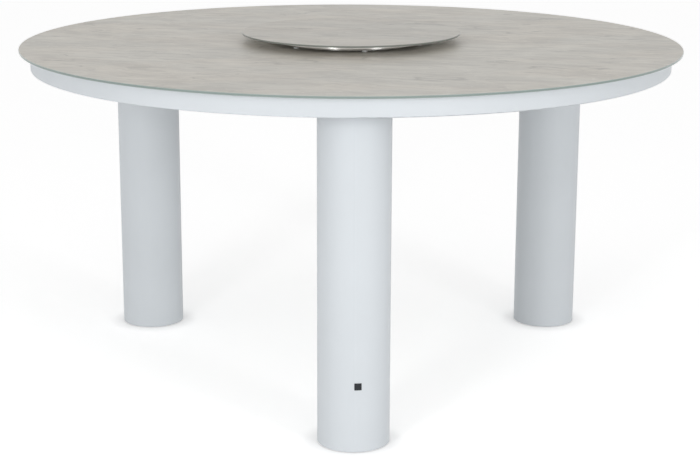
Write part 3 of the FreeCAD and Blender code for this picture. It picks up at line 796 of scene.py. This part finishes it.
def rounded_square(half, corner):
    """Points round a square: half is half its side, and corner the radius of its corners."""

    def on_corner(turn, angle):
        x = y = half - corner
        return (
            x * cos(turn) - y * sin(turn) + corner * cos(angle),
            x * sin(turn) + y * cos(turn) + corner * sin(angle),
        )

    points = []
    for quarter in range(4):
        turn = quarter * pi / 2
        following = turn + pi / 2
        for step in range(PLATE_CORNER_STEPS + 1):
            points.append(on_corner(turn, turn + step / PLATE_CORNER_STEPS * pi / 2))
        start, end = Vector(points[-1]), Vector(on_corner(following, following))
        for step in range(1, PLATE_SIDE_STEPS):
            points.append(tuple(start.lerp(end, step / PLATE_SIDE_STEPS)))
    return points


def wrap(across, up, radius, size, axis):
    """A point of the nameplate, bent round the leg."""
    angle = -pi / 2 + (size.plate_offset + across) / LEG_RADIUS
    return axis + Vector((radius * cos(angle), radius * sin(angle), size.plate_height + up))


# --- Stage ------------------------------------------------------------------------------

LAMP_DISTANCE = 4.3
LAMP_LENGTH = 1.3
LAMP_TARGET = Vector((0, 0, 0.6))

# Each lamp: its name, its turn to the right of the front in degrees, its width, and the
# height of its middle
LAMPS = (
    ("front", 0.0, 3.2, 2.6),
    ("left", -25.0, 0.6, 1.4),
    ("right", 34.0, 0.6, 1.4),
)

# Where the light of the walls turns to that of the ceiling, as the sine of the height
WALL_TOP = 0.05
CEILING_EDGE = 0.35

FLOOR_SEGMENTS = 96
# The floor that is seen grows to its full white between these distances from a leg's axis
FOOT_SHADE = (0.07, 0.12)
WHITE = (1, 1, 1)

CAMERA_DISTANCE = 3.9411
CAMERA_HEIGHT = 1.2872
CAMERA_SIDE = -0.001
CAMERA_TURN = radians(-0.74)
CAMERA_PITCH = 0.2461
CAMERA_ROLL = 0.0033
# How far the camera sees, in metres, and the width of its sensor, in millimetres
CAMERA_REACH = 100.0
SENSOR_WIDTH = 36.0


def add_lamp(name, turn, width, rise, strength):
    """Adds a soft rectangular lamp that shines at the table."""
    lamp = bpy.data.lights.new(name, "AREA")
    lamp.shape = "RECTANGLE"
    lamp.size, lamp.size_y = width, LAMP_LENGTH
    lamp.energy = strength
    place = Vector((LAMP_DISTANCE * sin(turn), -LAMP_DISTANCE * cos(turn), rise))
    piece = bpy.data.objects.new(name, lamp)
    piece.location = place
    piece.rotation_euler = (LAMP_TARGET - place).to_track_quat("-Z", "Y").to_euler()
    bpy.context.scene.collection.objects.link(piece)


def studio_light(look):
    """The light of the room: brighter low down and in front, and white where it is seen."""
    world = bpy.data.worlds.new("studio")
    world.use_nodes = True
    sky = Nodes(world.node_tree)
    way = sky.parts(sky.add("ShaderNodeTexCoord", output="Generated"))
    ceiling = way.out("Z").between(WALL_TOP, CEILING_EDGE)
    lit = look.horizon + (look.zenith - look.horizon) * ceiling
    lit = lit * (1 - look.lean * way.out("Y"))
    strength = lit + sky.in_sight() * (1 - lit)
    light = sky.add("ShaderNodeBackground", inputs={"Color": WHITE, "Strength": strength})
    sky.add("ShaderNodeOutputWorld", inputs={"Surface": light})
    return world


class TABLE_OT_set_stage(bpy.types.Operator):
    """Set up the pale floor, the soft lamps and the camera"""

    bl_idname = "table.set_stage"
    bl_label = "Set the stage"

    def execute(self, context):
        look = sizes("stage")
        context.scene.view_settings.view_transform = "Standard"
        add_floor(look)
        context.scene.world = studio_light(look)
        for name, turn, width, rise in LAMPS:
            add_lamp(name, radians(turn), width, rise, getattr(look, name))
        add_camera(look)
        return {"FINISHED"}


def add_floor(look):
    """Adds the floor that the table stands on."""
    mesh = bmesh.new()
    bmesh.ops.create_circle(
        mesh, cap_ends=True, segments=FLOOR_SEGMENTS, radius=look.floor_radius
    )
    data = bpy.data.meshes.new("floor")
    mesh.to_mesh(data)
    mesh.free()
    data.materials.append(floor_finish(look))
    floor = bpy.data.objects.new("floor", data)
    bpy.context.scene.collection.objects.link(floor)


def floor_finish(look):
    """A pale floor that the camera sees as white, with the table's shadow kept on it."""
    finish = Finish("studio_floor")
    place = finish.place()
    mottle = finish.noise(place, 0.6, detail=2)

    # Painted shadow: the lift fades close to the feet, which darkens the floor round each one
    gap = None
    for side in SIDES:
        foot = LEG_AXES[side].to_3d()
        reach = finish.vector("DISTANCE", place, foot).out("Value")
        gap = reach if gap is None else gap.math("MINIMUM", reach)
    lift = finish.mix(gap.between(*FOOT_SHADE), times(0.8, WHITE), WHITE)

    rough = {"Roughness": 0.9, "Specular IOR Level": 0.0}
    plain = finish.mix(mottle, times(0.99, look.floor), look.floor)
    plain = finish.add("ShaderNodeBsdfPrincipled", inputs={"Base Color": plain, **rough})
    lifted = {"Base Color": lift, "Emission Color": lift, "Emission Strength": look.floor_glow}
    lifted = finish.add("ShaderNodeBsdfPrincipled", inputs={**lifted, **rough})
    both = finish.add("ShaderNodeMixShader", inputs={0: finish.in_sight(), 1: plain, 2: lifted})
    finish.add("ShaderNodeOutputMaterial", inputs={"Surface": both})
    return finish.material


def add_camera(look):
    """Adds the camera, which looks at the table from the front and a little from above."""
    camera = bpy.data.cameras.new("camera")
    camera.lens = look.lens
    camera.sensor_width = SENSOR_WIDTH
    camera.clip_end = CAMERA_REACH
    view = bpy.data.objects.new("camera", camera)
    view.matrix_world = (
        Matrix.Rotation(CAMERA_TURN, 4, "Z")
        @ Matrix.Translation((CAMERA_SIDE, -CAMERA_DISTANCE, CAMERA_HEIGHT))
        @ Matrix.Rotation(pi / 2 - CAMERA_PITCH, 4, "X")
        @ Matrix.Rotation(CAMERA_ROLL, 4, "Z")
    )
    bpy.context.scene.collection.objects.link(view)
    bpy.context.scene.camera = view


# --- Panel and registration -------------------------------------------------------------

STEPS = (
    TABLE_OT_print_glass,
    TABLE_OT_coat_frame,
    TABLE_OT_weld_frame,
    TABLE_OT_finish_bearing,
    TABLE_OT_finish_fittings,
    TABLE_OT_fix_nameplate,
    TABLE_OT_set_stage,
)


class TABLE_PT_steps(bpy.types.Panel):
    """The steps that dress the table, and their sizes and colours"""

    bl_idname = "TABLE_PT_steps"
    bl_label = "Round dining table"
    bl_space_type = "VIEW_3D"
    bl_region_type = "UI"
    bl_category = "Table"

    def draw(self, context):
        for step in STEPS:
            self.layout.operator(step.bl_idname)
        for name, group in GROUPS.items():
            box = self.layout.box()
            box.label(text=name.replace("_", " ").capitalize())
            for size in group.__annotations__:
                box.prop(getattr(context.scene, name), size)


def register():
    """Registers the sizes, the steps and the panel."""
    for kind in (*GROUPS.values(), *STEPS, TABLE_PT_steps):
        bpy.utils.register_class(kind)
    for name, group in GROUPS.items():
        setattr(bpy.types.Scene, name, PointerProperty(type=group))


def unregister():
    """Takes them away again."""
    for name in GROUPS:
        delattr(bpy.types.Scene, name)
    for kind in reversed((*GROUPS.values(), *STEPS, TABLE_PT_steps)):
        bpy.utils.unregister_class(kind)


def main():
    """Dresses the table step by step."""
    register()
    for step in STEPS:
        group, name = step.bl_idname.split(".")
        getattr(getattr(bpy.ops, group), name)()


if __name__ == "__main__":
    main()
